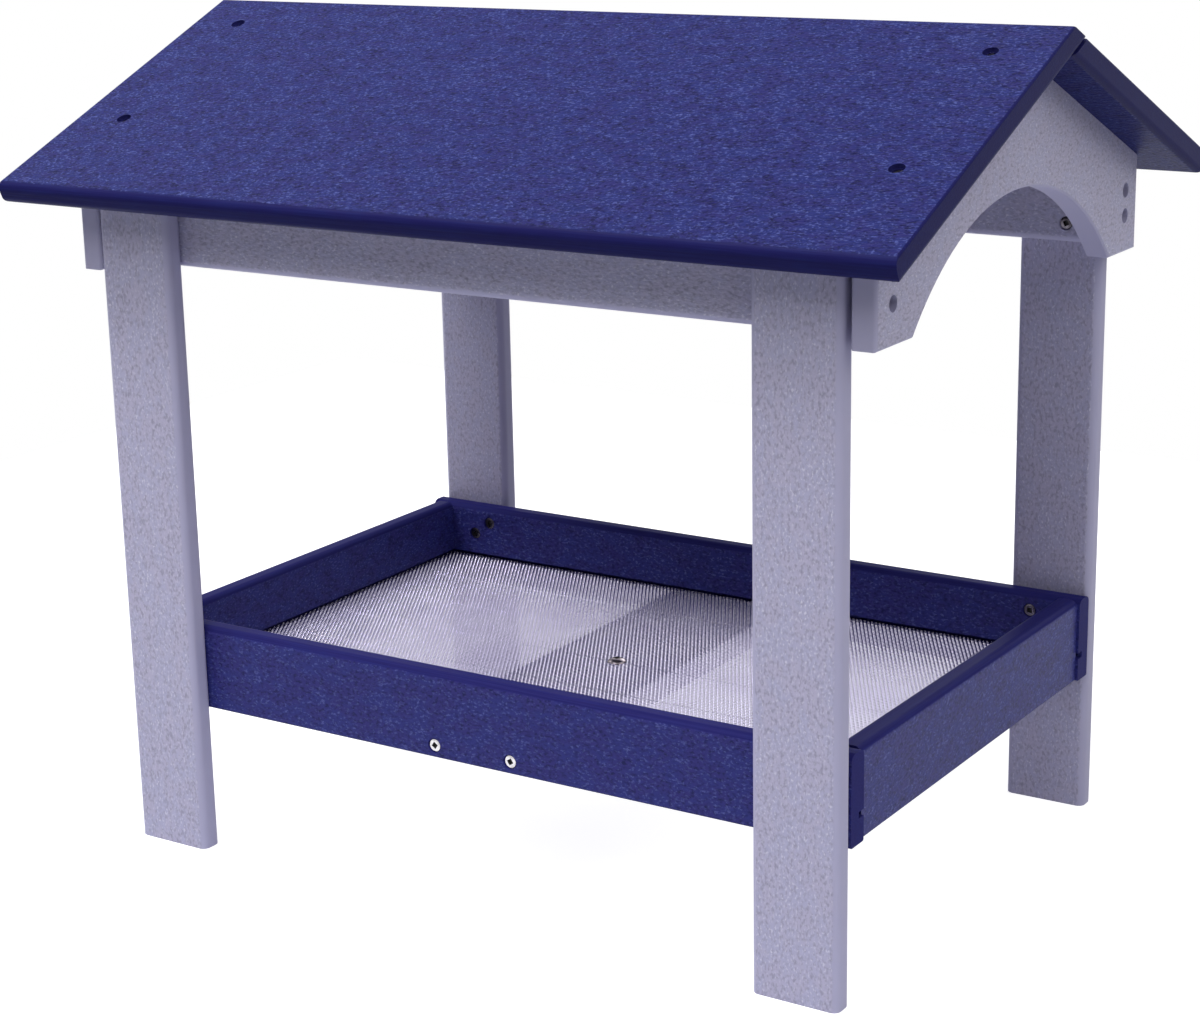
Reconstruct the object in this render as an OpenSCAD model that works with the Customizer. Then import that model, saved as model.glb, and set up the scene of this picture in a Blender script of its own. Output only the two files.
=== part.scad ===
// Fly-through bird feeder of recycled plastic boards, held together by screws.
// X runs along the ridge, -Y is the front, Z is up, and the origin is on the ground under the middle.
// All sizes are in millimetres.

/* [Boards] */
// Thickness of every board
board_t = 12.7; // [10:0.1:18]
// Width of the four posts
post_w = 46; // [42:0.5:60]
// Radius along the edges of posts, rails and tray tops
edge_r = 4; // [1:0.1:4.8]
// Radius along the lower edges of the tray boards
low_edge_r = 1; // [0.5:0.1:3]

/* [Tray] */
// Length of the tray along the ridge
tray_l = 432; // [380:1:520]
// Depth of the tray from front to back
tray_d = 281; // [240:1:340]
// Height of the tray boards
tray_h = 46; // [42:0.5:70]
// Height of the tray's underside above the ground
tray_z = 78; // [30:1:140]
// How far the end boards stand back from the ends of the long boards
end_setback = 1.5; // [0.5:0.1:4]

/* [Floor] */
// Width of the cross bar under the floor sheet
bar_w = 76; // [50:1:110]
// Sideways place of the cross bar's middle
bar_x = -3.5; // [-8:0.5:8]
// Thickness of the perforated floor sheet
sheet_t = 0.5; // [0.4:0.1:2]
// Width of the saw groove that holds the sheet
groove_w = 3.2; // [2.4:0.1:5]
// Depth of the saw groove
groove_d = 5; // [3:0.1:7]
// Space between the sheet's edge and the bottom of the groove
sheet_gap = 1; // [0.3:0.1:2]
// Distance between the sheet's drawn openings, nine real holes apart
opening_pitch = 21.4; // [20:0.1:40]
// Size of each drawn opening
opening_d = 14; // [6:0.1:16]

/* [Rails and gables] */
// Height of the rails' underside above the ground
rail_z = 318.5; // [240:0.5:420]
// Height of the rail boards
rail_h = 46; // [38:0.5:60]
// Space between a post's side and the gable beside it
gable_gap = 2.5; // [0.5:0.1:6]
// How far the gables stand back from the front of the posts
gable_inset = 3.2; // [1:0.1:8]
// How far the gables' feet reach below the rails
gable_drop = 4; // [0:0.5:10]
// Width of each gable foot
foot_w = 36; // [30:0.5:50]
// Height of the arch above the feet
arch_h = 51; // [30:0.5:60]
// Width of the bevel along the edges of the arch
arch_ease = 0.9; // [0.3:0.1:2]
// Radius along the upright edges of the gables
gable_edge_r = 2; // [1:0.1:4]
// Radius along the lower edges of the gables' feet
gable_foot_r = 1.4; // [0.5:0.1:1.8]

/* [Roof] */
// Pitch of the roof in degrees
roof_pitch = 23.5; // [15:0.5:32]
// How far the roof reaches past the gables at each end
roof_over = 24.8; // [10:0.1:60]
// How far the eaves reach past the posts, measured level
eave_over = 30.2; // [15:0.1:60]
// Radius along the eaves
eave_edge_r = 4.8; // [1:0.1:4.9]
// Radius along the upper edges of the roof panels' ends
rake_top_r = 1.2; // [0.5:0.1:4.8]
// Radius along the lower edges of the roof panels' ends
rake_low_r = 3.6; // [0.5:0.1:4.8]
// Space between the rails and the roof panels
roof_gap = 2.3; // [1:0.1:6]

/* [Screws] */
// Diameter of the screw shanks
shank_d = 4; // [3:0.1:5]
// Diameter of the flat screw heads
head_d = 7.6; // [6.5:0.1:9]
// Depth of the flat screw heads
head_h = 2.6; // [2:0.1:3.4]
// Free space all round a screw in its hole
screw_play = 0.1; // [0.05:0.01:0.2]
// Side of the square drive socket
socket_w = 2.8; // [2:0.1:3.2]
// Depth of the square drive socket
socket_d = 1.8; // [1:0.1:2]
// How far the long screws bite into the second board
bite = 22; // [15:0.5:32]
// How far the gable screws bite into the rails
gable_bite = 13; // [9:0.5:16]
// Wall left in front of the tips of the screws that join two boards face to face
tip_wall = 3.6; // [2.5:0.1:6]
// How deep the gable screws are sunk
deep_sink = 4; // [2:0.1:5]
// How deep the roof screws are sunk
roof_sink = 2.2; // [0.2:0.1:3]
// How deep all other screws are sunk
flush_sink = 0.4; // [0.1:0.1:1.5]
// Diameter of the wide head of the floor screw
wide_head_d = 10.4; // [9:0.1:14]
// Height of the wide head of the floor screw
wide_head_h = 2.4; // [1.5:0.1:3.5]

/* [Screw places] */
// Distance from the ridge to the upper roof screws, along the slope
roof_screw_high = 26; // [18:0.5:45]
// Distance from the eave to the lower roof screws, along the slope
roof_screw_low = 70; // [60:0.5:80]
// Height of the lower gable screw above the rail's underside
gable_screw_low = 15; // [13:0.5:18]
// Distance between the two gable screws of a foot
gable_screw_step = 13.3; // [11:0.1:18]
// Distance from a post's outer edge to the outer rail screw
rail_screw_inset = 14.6; // [13.8:0.1:17]
// Height of the outer rail screw above the rail's underside
rail_screw_low = 10; // [8:0.5:12]
// Sideways step from the outer to the inner rail screw
rail_screw_in = 14; // [8:0.5:16]
// Upward step from the outer to the inner rail screw
rail_screw_up = 22; // [12:0.5:24]
// Distance from a left post's inner edge to the nearer tray screw
tray_screw_left = 4.4; // [4:0.1:8]
// Distance from a right post's inner edge to the nearer tray screw
tray_screw_right = 16.8; // [10:0.1:17]
// Height of the nearer tray screw above the tray's underside
tray_screw_high = 36; // [32:0.5:38]
// Sideways step from the nearer to the farther tray screw
tray_screw_out = 11; // [9:0.1:12]
// Downward step from the nearer to the farther tray screw
tray_screw_down = 7.7; // [4:0.1:9]
// Distance from the cross bar's left side to its left screws
bar_screw_left = 20.2; // [8:0.1:22]
// Distance from the cross bar's right side to its right screws
bar_screw_right = 9.2; // [6:0.1:20]
// Height of the upper corner screw above the tray's underside
corner_screw_high = 34; // [28:0.5:38]

/* [Hidden] */
$fn = 48;

roof_blue = [0.18, 0.16, 0.42];
post_grey = [0.60, 0.60, 0.70];
bright_steel = [0.78, 0.78, 0.80];
pale_aluminium = [0.86, 0.86, 0.90];

post_outer_y = tray_d / 2 + board_t;
rail_l = tray_l + 2 * gable_gap;
end_board_x = tray_l / 2 - end_setback - board_t;
well_d = tray_d - 2 * board_t;
floor_z = tray_z + board_t;
drop_t = board_t / cos(roof_pitch);
ridge_z = rail_z + rail_h + roof_gap + drop_t + tray_d / 2 * tan(roof_pitch);
post_top_gap = 1;
post_h = roof_under(post_outer_y) - post_top_gap;
roof_l = rail_l + 2 * (board_t + roof_over);
roof_run = (post_outer_y + eave_over) / cos(roof_pitch);
gable_half_d = post_outer_y - gable_inset;
gable_foot_z = rail_z - gable_drop;
arch_half_w = gable_half_d - foot_w;
arch_r = (arch_half_w * arch_half_w + arch_h * arch_h) / (2 * arch_h);
long_screw_l = board_t + bite;
joining_screw_l = 2 * board_t - flush_sink - tip_wall;
gable_screw_l = board_t - deep_sink + gable_bite;
floor_screw_l = board_t + sheet_t - tip_wall;
// Length of a screw's tip, the diameter of its point, and the room in the hole beyond it
tip_l = 4;
point_d = 1;
tip_room = 0.5;
// How far long cuts reach, how far small cuts run past a face, and a small overlap
reach = roof_l;
clear_cut = 1;
over = 0.01;

// Height of the underside of the roof at a distance y from the middle
function roof_under(y) = ridge_z - drop_t - abs(y) * tan(roof_pitch);

// Rectangle standing on the X axis, with one radius at its foot and one at its head
module eased_rect(w, h, foot_r, head_r) {
    translate([foot_r - w / 2, 0]) square([w - 2 * foot_r, h / 2]);
    translate([-w / 2, foot_r]) square([w, h / 2 - foot_r]);
    translate([head_r - w / 2, h / 2 - over]) square([w - 2 * head_r, h / 2 + over]);
    translate([-w / 2, h / 2 - over]) square([w, h / 2 - head_r + over]);
    for (side = [-1, 1]) {
        translate([side * (w / 2 - foot_r), foot_r]) circle(foot_r);
        translate([side * (w / 2 - head_r), h - head_r]) circle(head_r);
    }
}

// Turns a drawing so that its X lies along Y and its Y points up, and stretches it along X
module along_x(length) {
    rotate([90, 0, 90])
        translate([0, 0, -length / 2])
            linear_extrude(length) children();
}

// Turns a drawing so that its Y points up, and stretches it along Y
module along_y(length) {
    rotate([90, 0, 0])
        translate([0, 0, -length / 2])
            linear_extrude(length) children();
}

// Lies on the top of the front roof slope: -Y runs down to the eave and Z stands out of the roof
module on_front_slope() {
    translate([0, 0, ridge_z]) rotate([roof_pitch, 0, 0]) children();
}

module on_slope(side) {
    if (side == "front") on_front_slope() children();
    else mirror([0, 1, 0]) on_front_slope() children();
}

// Screw with a flat head and a square socket, its head's top at the origin, pointing down
module wood_screw(length) {
    color(bright_steel)
        difference() {
            union() {
                translate([0, 0, -head_h]) cylinder(h = head_h, d1 = shank_d, d2 = head_d);
                translate([0, 0, tip_l - length]) cylinder(h = length - tip_l - head_h + over, d = shank_d);
                translate([0, 0, -length]) cylinder(h = tip_l, d1 = point_d, d2 = shank_d);
            }
            drive_socket();
        }
}

// Square socket sunk from the origin down
module drive_socket() {
    translate([-socket_w / 2, -socket_w / 2, -socket_d])
        cube([socket_w, socket_w, socket_d + clear_cut]);
}

// Hole that takes such a screw with its head sunk below the face of the board
module screw_hole(length, sink) {
    hole_d = shank_d + 2 * screw_play;
    mouth_d = head_d + 2 * screw_play;
    cylinder(h = sink + clear_cut, d = mouth_d);
    translate([0, 0, -head_h]) cylinder(h = head_h + over, d1 = hole_d, d2 = mouth_d);
    pilot_hole(length);
}

// Pilot hole with its mouth at the origin, for the shank and tip of a screw that reaches down to length
module pilot_hole(length) {
    hole_d = shank_d + 2 * screw_play;
    translate([0, 0, tip_l - length]) cylinder(h = length - tip_l + clear_cut, d = hole_d);
    translate([0, 0, -length - tip_room])
        cylinder(h = tip_l + tip_room + over, d1 = point_d, d2 = hole_d);
}

// Places of the screws, each with Z pointing out of the face that the screw enters
module at_roof_screws(side) {
    on_slope(side)
        for (end = [-1, 1], run = [roof_screw_high, roof_run - roof_screw_low])
            translate([end * (rail_l + board_t) / 2, -run, -roof_sink]) children();
}

module at_gable_screws(end) {
    for (side = [-1, 1], step = [0, gable_screw_step])
        translate([
            end * (rail_l / 2 + board_t - deep_sink),
            side * (tray_d - board_t) / 2,
            rail_z + gable_screw_low + step
        ])
            rotate([0, end * 90, 0]) children();
}

module at_rail_screws(side) {
    for (end = [-1, 1], step = [0, 1])
        translate([
            end * (tray_l / 2 - rail_screw_inset - step * rail_screw_in),
            side * (well_d / 2 + flush_sink),
            rail_z + rail_screw_low + step * rail_screw_up
        ])
            rotate([side * 90, 0, 0]) children();
}

module at_tray_post_screws(side) {
    for (end = [-1, 1], step = [0, 1]) {
        from_edge = end < 0 ? tray_screw_left : tray_screw_right;
        translate([
            end * (tray_l / 2 - post_w + from_edge + step * tray_screw_out),
            side * (well_d / 2 + flush_sink),
            tray_z + tray_screw_high - step * tray_screw_down
        ])
            rotate([side * 90, 0, 0]) children();
    }
}

module at_corner_screws(side) {
    for (end = [-1, 1], height = [board_t / 2, corner_screw_high])
        translate([end * (end_board_x + board_t / 2), side * (tray_d / 2 - flush_sink), tray_z + height])
            rotate([-side * 90, 0, 0]) children();
}

module at_bar_screws(side) {
    for (x = [bar_screw_left - bar_w / 2, bar_w / 2 - bar_screw_right])
        translate([bar_x + x, side * (tray_d / 2 - flush_sink), tray_z + board_t / 2])
            rotate([-side * 90, 0, 0]) children();
}

// Roof panels. The front one runs through to the ridge, where its end is cut flush with the back one,
// and the back one butts against its underside
module roof_blank() {
    intersection() {
        along_x(roof_l) {
            translate([-roof_run + eave_edge_r, -board_t])
                square([roof_run - eave_edge_r + 2 * board_t, board_t]);
            translate([-roof_run, -board_t + eave_edge_r])
                square([roof_run, board_t - 2 * eave_edge_r]);
            for (z = [-eave_edge_r, eave_edge_r - board_t])
                translate([-roof_run + eave_edge_r, z]) circle(eave_edge_r);
        }
        translate([0, 0, -board_t])
            along_y(4 * roof_run) eased_rect(roof_l, board_t, rake_low_r, rake_top_r);
    }
}

module roof_panel_front() {
    color(roof_blue)
        difference() {
            on_slope("front") roof_blank();
            on_slope("back") translate([-reach, -reach, 0]) cube([2 * reach, 2 * reach, reach]);
            at_roof_screws("front") screw_hole(long_screw_l, roof_sink);
        }
}

module roof_panel_back() {
    color(roof_blue)
        difference() {
            on_slope("back") roof_blank();
            on_slope("front") translate([-reach, -reach, -board_t]) cube([2 * reach, 2 * reach, reach]);
            at_roof_screws("back") screw_hole(long_screw_l, roof_sink);
        }
}

// Gables
module gable_outline() {
    polygon([
        [-gable_half_d, gable_foot_z],
        [gable_half_d, gable_foot_z],
        [gable_half_d, roof_under(gable_half_d)],
        [0, roof_under(0)],
        [-gable_half_d, roof_under(gable_half_d)]
    ]);
}

// Round cutter for the arch, its axis along Z, flared where it leaves the two faces of the board
module arch_cut() {
    cylinder(h = board_t + 2 * clear_cut, r = arch_r, center = true);
    for (face = [0, 1])
        mirror([0, 0, face])
            translate([0, 0, board_t / 2 - arch_ease])
                cylinder(h = 2 * arch_ease, r1 = arch_r, r2 = arch_r + 2 * arch_ease);
}

module gable(end) {
    color(post_grey)
        difference() {
            translate([end * (rail_l + board_t) / 2, 0, 0])
                intersection() {
                    along_x(board_t) gable_outline();
                    translate([0, -gable_half_d, 0])
                        linear_extrude(ridge_z)
                            eased_rect(board_t, 2 * gable_half_d, gable_edge_r, gable_edge_r);
                    translate([0, 0, gable_foot_z])
                        along_y(2 * reach)
                            eased_rect(board_t, reach, gable_foot_r, gable_foot_r);
                }
            translate([end * (rail_l + board_t) / 2, 0, gable_foot_z + arch_h - arch_r])
                rotate([0, 90, 0]) arch_cut();
            at_gable_screws(end) screw_hole(gable_screw_l, deep_sink);
            for (side = ["front", "back"])
                at_roof_screws(side) screw_hole(long_screw_l, roof_sink);
        }
}

module gable_left() {
    gable(-1);
}

module gable_right() {
    gable(1);
}

// Rails between the gables, against the inner faces of the posts
module rail(side) {
    color(post_grey)
        difference() {
            translate([0, side * (tray_d - board_t) / 2, rail_z])
                along_x(rail_l) eased_rect(board_t, rail_h, edge_r, edge_r);
            for (end = [-1, 1])
                at_gable_screws(end) screw_hole(gable_screw_l, deep_sink);
            at_rail_screws(side) screw_hole(joining_screw_l, flush_sink);
        }
}

module rail_front() {
    rail(-1);
}

module rail_back() {
    rail(1);
}

// Posts, screwed on from inside the rails and the tray
module post(end, side) {
    color(post_grey)
        difference() {
            translate([
                end * (tray_l - post_w) / 2,
                side * post_outer_y - (side > 0 ? board_t : 0),
                0
            ])
                linear_extrude(post_h) eased_rect(post_w, board_t, edge_r, edge_r);
            at_rail_screws(side) screw_hole(joining_screw_l, flush_sink);
            at_tray_post_screws(side) screw_hole(joining_screw_l, flush_sink);
        }
}

module post_front_left() {
    post(-1, -1);
}

module post_front_right() {
    post(1, -1);
}

module post_back_left() {
    post(-1, 1);
}

module post_back_right() {
    post(1, 1);
}

// Tray boards, with the saw groove for the floor sheet along their inner faces
module groove_cut(face_y) {
    translate([-reach, face_y - groove_d, floor_z]) cube([2 * reach, 2 * groove_d, groove_w]);
}

module tray_board(side) {
    color(roof_blue)
        difference() {
            translate([0, side * (tray_d - board_t) / 2, tray_z])
                along_x(tray_l) eased_rect(board_t, tray_h, low_edge_r, edge_r);
            groove_cut(side * well_d / 2);
            at_tray_post_screws(side) screw_hole(joining_screw_l, flush_sink);
            at_corner_screws(side) screw_hole(long_screw_l, flush_sink);
            at_bar_screws(side) screw_hole(long_screw_l, flush_sink);
        }
}

module tray_board_front() {
    tray_board(-1);
}

module tray_board_back() {
    tray_board(1);
}

module tray_end(end) {
    color(roof_blue)
        difference() {
            translate([end * (end_board_x + board_t / 2), 0, tray_z])
                along_y(well_d) eased_rect(board_t, tray_h, low_edge_r, edge_r);
            rotate([0, 0, 90]) groove_cut(-end * end_board_x);
            for (side = [-1, 1])
                at_corner_screws(side) screw_hole(long_screw_l, flush_sink);
        }
}

module tray_end_left() {
    tray_end(-1);
}

module tray_end_right() {
    tray_end(1);
}

// Floor: a cross bar, the perforated sheet that lies on it, and the screw that pins the sheet down
module floor_cross_bar() {
    color(roof_blue)
        difference() {
            translate([bar_x, 0, tray_z])
                along_y(well_d) eased_rect(bar_w, board_t, low_edge_r, low_edge_r);
            for (side = [-1, 1])
                at_bar_screws(side) screw_hole(long_screw_l, flush_sink);
            translate([0, 0, floor_z + sheet_t]) pilot_hole(floor_screw_l);
        }
}

module floor_sheet() {
    sheet_l = 2 * (end_board_x + groove_d - sheet_gap);
    sheet_d = well_d + 2 * (groove_d - sheet_gap);
    row_step = opening_pitch * sin(60);
    rows = floor((well_d - opening_d) / 2 / row_step);
    columns = floor((end_board_x - opening_d / 2) / opening_pitch);
    clear_r = (opening_d + wide_head_d) / 2;
    color(pale_aluminium)
        translate([0, 0, floor_z])
            difference() {
                translate([-sheet_l / 2, -sheet_d / 2, 0]) cube([sheet_l, sheet_d, sheet_t]);
                translate([0, 0, -clear_cut])
                    for (row = [-rows:rows], column = [-columns:columns]) {
                        x = (column + (row % 2 == 0 ? 0 : 0.5)) * opening_pitch;
                        y = row * row_step;
                        if (norm([x, y]) > clear_r && abs(x) < end_board_x - opening_d / 2)
                            translate([x, y, 0])
                                cylinder(h = sheet_t + 2 * clear_cut, d = opening_d, $fn = 6);
                    }
                translate([0, 0, sheet_t]) pilot_hole(floor_screw_l);
            }
}

module floor_screw() {
    dome_r = (wide_head_d * wide_head_d / 4 + wide_head_h * wide_head_h) / (2 * wide_head_h);
    color(bright_steel)
        translate([0, 0, floor_z + sheet_t])
            difference() {
                union() {
                    intersection() {
                        translate([0, 0, wide_head_h - dome_r]) sphere(dome_r);
                        cylinder(h = wide_head_h, d = wide_head_d);
                    }
                    translate([0, 0, tip_l - floor_screw_l])
                        cylinder(h = floor_screw_l - tip_l + over, d = shank_d);
                    translate([0, 0, -floor_screw_l]) cylinder(h = tip_l, d1 = point_d, d2 = shank_d);
                }
                translate([0, 0, wide_head_h]) drive_socket();
            }
}

// Screws, in the groups that one side or end of the feeder shares
module roof_screws_front() {
    at_roof_screws("front") wood_screw(long_screw_l);
}

module roof_screws_back() {
    at_roof_screws("back") wood_screw(long_screw_l);
}

module gable_screws_left() {
    at_gable_screws(-1) wood_screw(gable_screw_l);
}

module gable_screws_right() {
    at_gable_screws(1) wood_screw(gable_screw_l);
}

module rail_post_screws_front() {
    at_rail_screws(-1) wood_screw(joining_screw_l);
}

module rail_post_screws_back() {
    at_rail_screws(1) wood_screw(joining_screw_l);
}

module tray_post_screws_front() {
    at_tray_post_screws(-1) wood_screw(joining_screw_l);
}

module tray_post_screws_back() {
    at_tray_post_screws(1) wood_screw(joining_screw_l);
}

module tray_corner_screws_front() {
    at_corner_screws(-1) wood_screw(long_screw_l);
}

module tray_corner_screws_back() {
    at_corner_screws(1) wood_screw(long_screw_l);
}

module cross_bar_screws_front() {
    at_bar_screws(-1) wood_screw(long_screw_l);
}

module cross_bar_screws_back() {
    at_bar_screws(1) wood_screw(long_screw_l);
}

roof_panel_front();
roof_panel_back();
gable_left();
gable_right();
rail_front();
rail_back();
post_front_left();
post_front_right();
post_back_left();
post_back_right();
tray_board_front();
tray_board_back();
tray_end_left();
tray_end_right();
floor_cross_bar();
floor_sheet();
floor_screw();
roof_screws_front();
roof_screws_back();
gable_screws_left();
gable_screws_right();
rail_post_screws_front();
rail_post_screws_back();
tray_post_screws_front();
tray_post_screws_back();
tray_corner_screws_front();
tray_corner_screws_back();
cross_bar_screws_front();
cross_bar_screws_back();
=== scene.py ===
# %% [markdown]
# # A fly-through bird feeder in two colours of plastic board
# The real feeder is screwed together from half-inch recycled plastic boards: a blue roof of two panels,
# grey gables, rails and posts, and a blue tray with a perforated metal floor. The boards and their places
# come from the CAD frame, which is loaded first and never moved. This script adds what CAD doesn't hold:
# the finish of each board, the holes of the floor sheet, the threads and heads of the screws, and the
# camera and the lights.

# %% Load the CAD frame
import math

import bmesh
import bpy
import numpy as np
from mathutils import Matrix, Vector


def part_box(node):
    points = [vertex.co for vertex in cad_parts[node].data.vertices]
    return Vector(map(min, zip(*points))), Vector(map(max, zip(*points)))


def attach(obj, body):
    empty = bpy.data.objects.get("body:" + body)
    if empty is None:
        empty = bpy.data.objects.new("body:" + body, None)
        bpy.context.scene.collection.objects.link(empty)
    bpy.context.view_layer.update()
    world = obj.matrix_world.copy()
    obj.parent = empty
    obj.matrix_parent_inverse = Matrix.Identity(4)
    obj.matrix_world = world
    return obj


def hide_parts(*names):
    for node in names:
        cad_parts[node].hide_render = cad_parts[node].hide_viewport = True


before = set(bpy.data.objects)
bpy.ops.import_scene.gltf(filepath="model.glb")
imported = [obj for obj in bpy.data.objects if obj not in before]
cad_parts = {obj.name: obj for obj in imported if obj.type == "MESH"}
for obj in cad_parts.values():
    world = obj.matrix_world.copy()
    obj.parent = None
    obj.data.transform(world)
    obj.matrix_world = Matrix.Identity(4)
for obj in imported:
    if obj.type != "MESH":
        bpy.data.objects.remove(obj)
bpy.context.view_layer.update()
scene = bpy.context.scene
scene.view_settings.view_transform = "Standard"
MM = 0.001
print("CAD nodes:", len(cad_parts))

# %% [markdown]
# ## The camera
# The photograph was taken from the front right, a little above the roof's eave. Its place, turn and lens
# were worked out from where the corners of the boards fall in the picture. A pinhole camera without shift
# is enough, so that every other view of the part stays centred too.

# %% Place the camera
CAMERA_PLACE = (0.71503, -1.11633, 0.54507)
CAMERA_YAW, CAMERA_DOWN, CAMERA_ROLL = 32.971, 15.488, 1.148
CAMERA_LENS, SENSOR_WIDTH = 76.584, 36


def turn(angle, axis):
    return Matrix.Rotation(math.radians(angle), 4, axis)


camera_data = bpy.data.cameras.new("camera")
camera_data.lens = CAMERA_LENS
camera_data.sensor_width = SENSOR_WIDTH
camera_data.sensor_fit = "HORIZONTAL"
camera = bpy.data.objects.new("camera", camera_data)
camera.matrix_world = (
    Matrix.Translation(CAMERA_PLACE)
    @ turn(CAMERA_YAW, "Z")
    @ turn(90 - CAMERA_DOWN, "X")
    @ turn(-CAMERA_ROLL, "Z")
)
scene.collection.objects.link(camera)
scene.camera = camera
print("camera at", CAMERA_PLACE, "lens", CAMERA_LENS, "mm")

# %% [markdown]
# ## Writing materials as sums
# A material is a tree of nodes. Node by node it takes many lines, so two small classes let the script
# write shader maths as plain Python. `Wire` wraps one output: adding or multiplying it adds a Math node.
# `Bench` wraps a tree, and its one method `node` takes a node's type, its settings and its sockets. The
# same two classes also build the Geometry Nodes trees further down, because their maths nodes are shared.

# %% Wrap a node's output and a node tree


class Wire:
    """One output of a node. Arithmetic on it adds Math nodes to the same tree."""

    def __init__(self, bench, socket):
        self.bench = bench
        self.socket = socket

    def maths(self, operation, *values):
        return self.bench.node("ShaderNodeMath", {"operation": operation}, dict(enumerate(values)))

    def __add__(self, other):
        return self.maths("ADD", self, other)

    def __radd__(self, other):
        return self.maths("ADD", other, self)

    def __sub__(self, other):
        return self.maths("SUBTRACT", self, other)

    def __rsub__(self, other):
        return self.maths("SUBTRACT", other, self)

    def __mul__(self, other):
        return self.maths("MULTIPLY", self, other)

    def __rmul__(self, other):
        return self.maths("MULTIPLY", other, self)

    def __truediv__(self, other):
        return self.maths("DIVIDE", self, other)

    def __abs__(self):
        return self.maths("ABSOLUTE", self)

    def rounded(self):
        return self.maths("ROUND", self)

    def low(self, other):
        return self.maths("MINIMUM", self, other)

    def high(self, other):
        return self.maths("MAXIMUM", self, other)

    def part(self, name):
        """Another output of the same node, by its name."""
        return Wire(self.bench, self.socket.node.outputs[name])


class Bench:
    """A node tree, and the one way in which this script adds a node to it."""

    def __init__(self, tree):
        self.tree = tree
        tree.nodes.clear()

    def node(self, kind, settings=None, sockets=None):
        made = self.tree.nodes.new(kind)
        for name, value in (settings or {}).items():
            setattr(made, name, value)
        usable = [s for s in made.inputs if s.enabled]
        for name, value in (sockets or {}).items():
            socket = usable[name] if isinstance(name, int) else next(s for s in usable if s.name == name)
            for one in value if isinstance(value, list) else [value]:
                if isinstance(one, Wire):
                    self.tree.links.new(one.socket, socket)
                else:
                    socket.default_value = one
        shown = [s for s in made.outputs if s.enabled]
        return Wire(self, shown[0]) if shown else None


def new_material(name):
    """A material and its bench, with nothing on it yet."""
    material = bpy.data.materials.new(name)
    material.use_nodes = True
    return material, Bench(material.node_tree)


def colour(red, green, blue):
    """A colour that is read from 0 to 255 on the screen, as the linear colour that a shader takes."""
    shares = [v / 255 for v in (red, green, blue)]
    return [v / 12.92 if v <= 0.04045 else ((v + 0.055) / 1.055) ** 2.4 for v in shares]


def blend(share, under, over):
    """The colour `under` where share is 0 and `over` where it is 1."""
    bench = share.bench
    under, over = [c if isinstance(c, Wire) else (*c, 1) for c in (under, over)]
    return bench.node("ShaderNodeMix", {"data_type": "RGBA"}, {"Factor": share, "A": under, "B": over})


def ease(value, start, end):
    """0 below start, 1 above end, and a smooth change between them."""
    sockets = {"Value": value, "From Min": start, "From Max": end}
    return value.bench.node("ShaderNodeMapRange", {"interpolation_type": "SMOOTHSTEP"}, sockets)


def dot(wire, direction):
    """How far a vector reaches along a direction."""
    sockets = {0: wire, 1: tuple(direction)}
    return wire.bench.node("ShaderNodeVectorMath", {"operation": "DOT_PRODUCT"}, sockets)


print("the screen's middle grey as a shader takes it:", [round(v, 3) for v in colour(128, 128, 128)])


# %% [markdown]
# ## Lights, backdrop and floor
# The photograph is a studio picture on white. Its light comes mostly from steeply above, so the eaves shade
# the rails and the tops of the posts. The pale table throws some of it back up. Square lamps all round
# stand in for that soft light. Their strengths were found by rendering the feeder under one lamp at a time
# and adding those pictures up, and were then trimmed.

# %% Hang the lamps
LAMPS = (
    # name, place, aim, side in metres, watts
    ("above_front", (0, -1.3, 1.8), (0, 0, 0.25), 1.5, 20.0),
    ("above_left", (-1.4, -0.3, 1.7), (0, 0, 0.25), 1.5, 6.5),
    ("above_right", (1.4, -0.3, 1.7), (0, 0, 0.25), 1.5, 15.5),
    ("steep_front", (0, -0.7, 2.0), (0, -0.2, 0.2), 0.6, 9.0),
    ("steep_left", (-0.9, -0.5, 1.9), (-0.1, -0.1, 0.2), 0.6, 17.0),
    ("left", (-2.3, 0, 0.9), (0, 0, 0.25), 1.2, 5.0),
    ("right", (2.3, 0.2, 0.9), (0, 0, 0.25), 1.2, 4.0),
    ("behind", (0, 2.3, 1.2), (0, 0, 0.25), 1.5, 21.0),
)
for name, place, aim, side, watts in LAMPS:
    lamp_data = bpy.data.lights.new(name, "AREA")
    lamp_data.size = side
    lamp_data.energy = watts
    lamp = bpy.data.objects.new(name, lamp_data)
    lamp.location = place
    lamp.rotation_euler = (Vector(aim) - Vector(place)).to_track_quat("-Z", "Y").to_euler()
    scene.collection.objects.link(lamp)
    print("lamp", name, watts, "W")

# %% [markdown]
# The backdrop is white to the camera. Mirror rays and rays through glass see the same white, so that metal
# shows the background that it stands in front of. To all other rays the backdrop is dim, because the lamps
# light the feeder. The floor is made the same way, and still shows the feeder's shadow. To the rays that
# carry light it is a pale, slightly cool grey with a faint glow, which stands for the rest of the table.

# %% Set up the backdrop
WHITE = (1, 1, 1, 1)
BACKDROP_GLOW = 0.03


def looked_at(bench):
    """1 for the rays of the camera, of mirrors and of glass, and 0 for those that carry light onto things."""
    rays = bench.node("ShaderNodeLightPath")
    return rays.part("Is Camera Ray").high(rays.part("Is Glossy Ray")).high(rays.part("Is Transmission Ray"))


world = bpy.data.worlds.new("studio")
world.use_nodes = True
scene.world = world
air = Bench(world.node_tree)
strength = looked_at(air).high(BACKDROP_GLOW)
backdrop = air.node("ShaderNodeBackground", None, {"Color": WHITE, "Strength": strength})
air.node("ShaderNodeOutputWorld", None, {"Surface": backdrop})
print("backdrop", world.name, "glow to light rays:", BACKDROP_GLOW)

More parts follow.
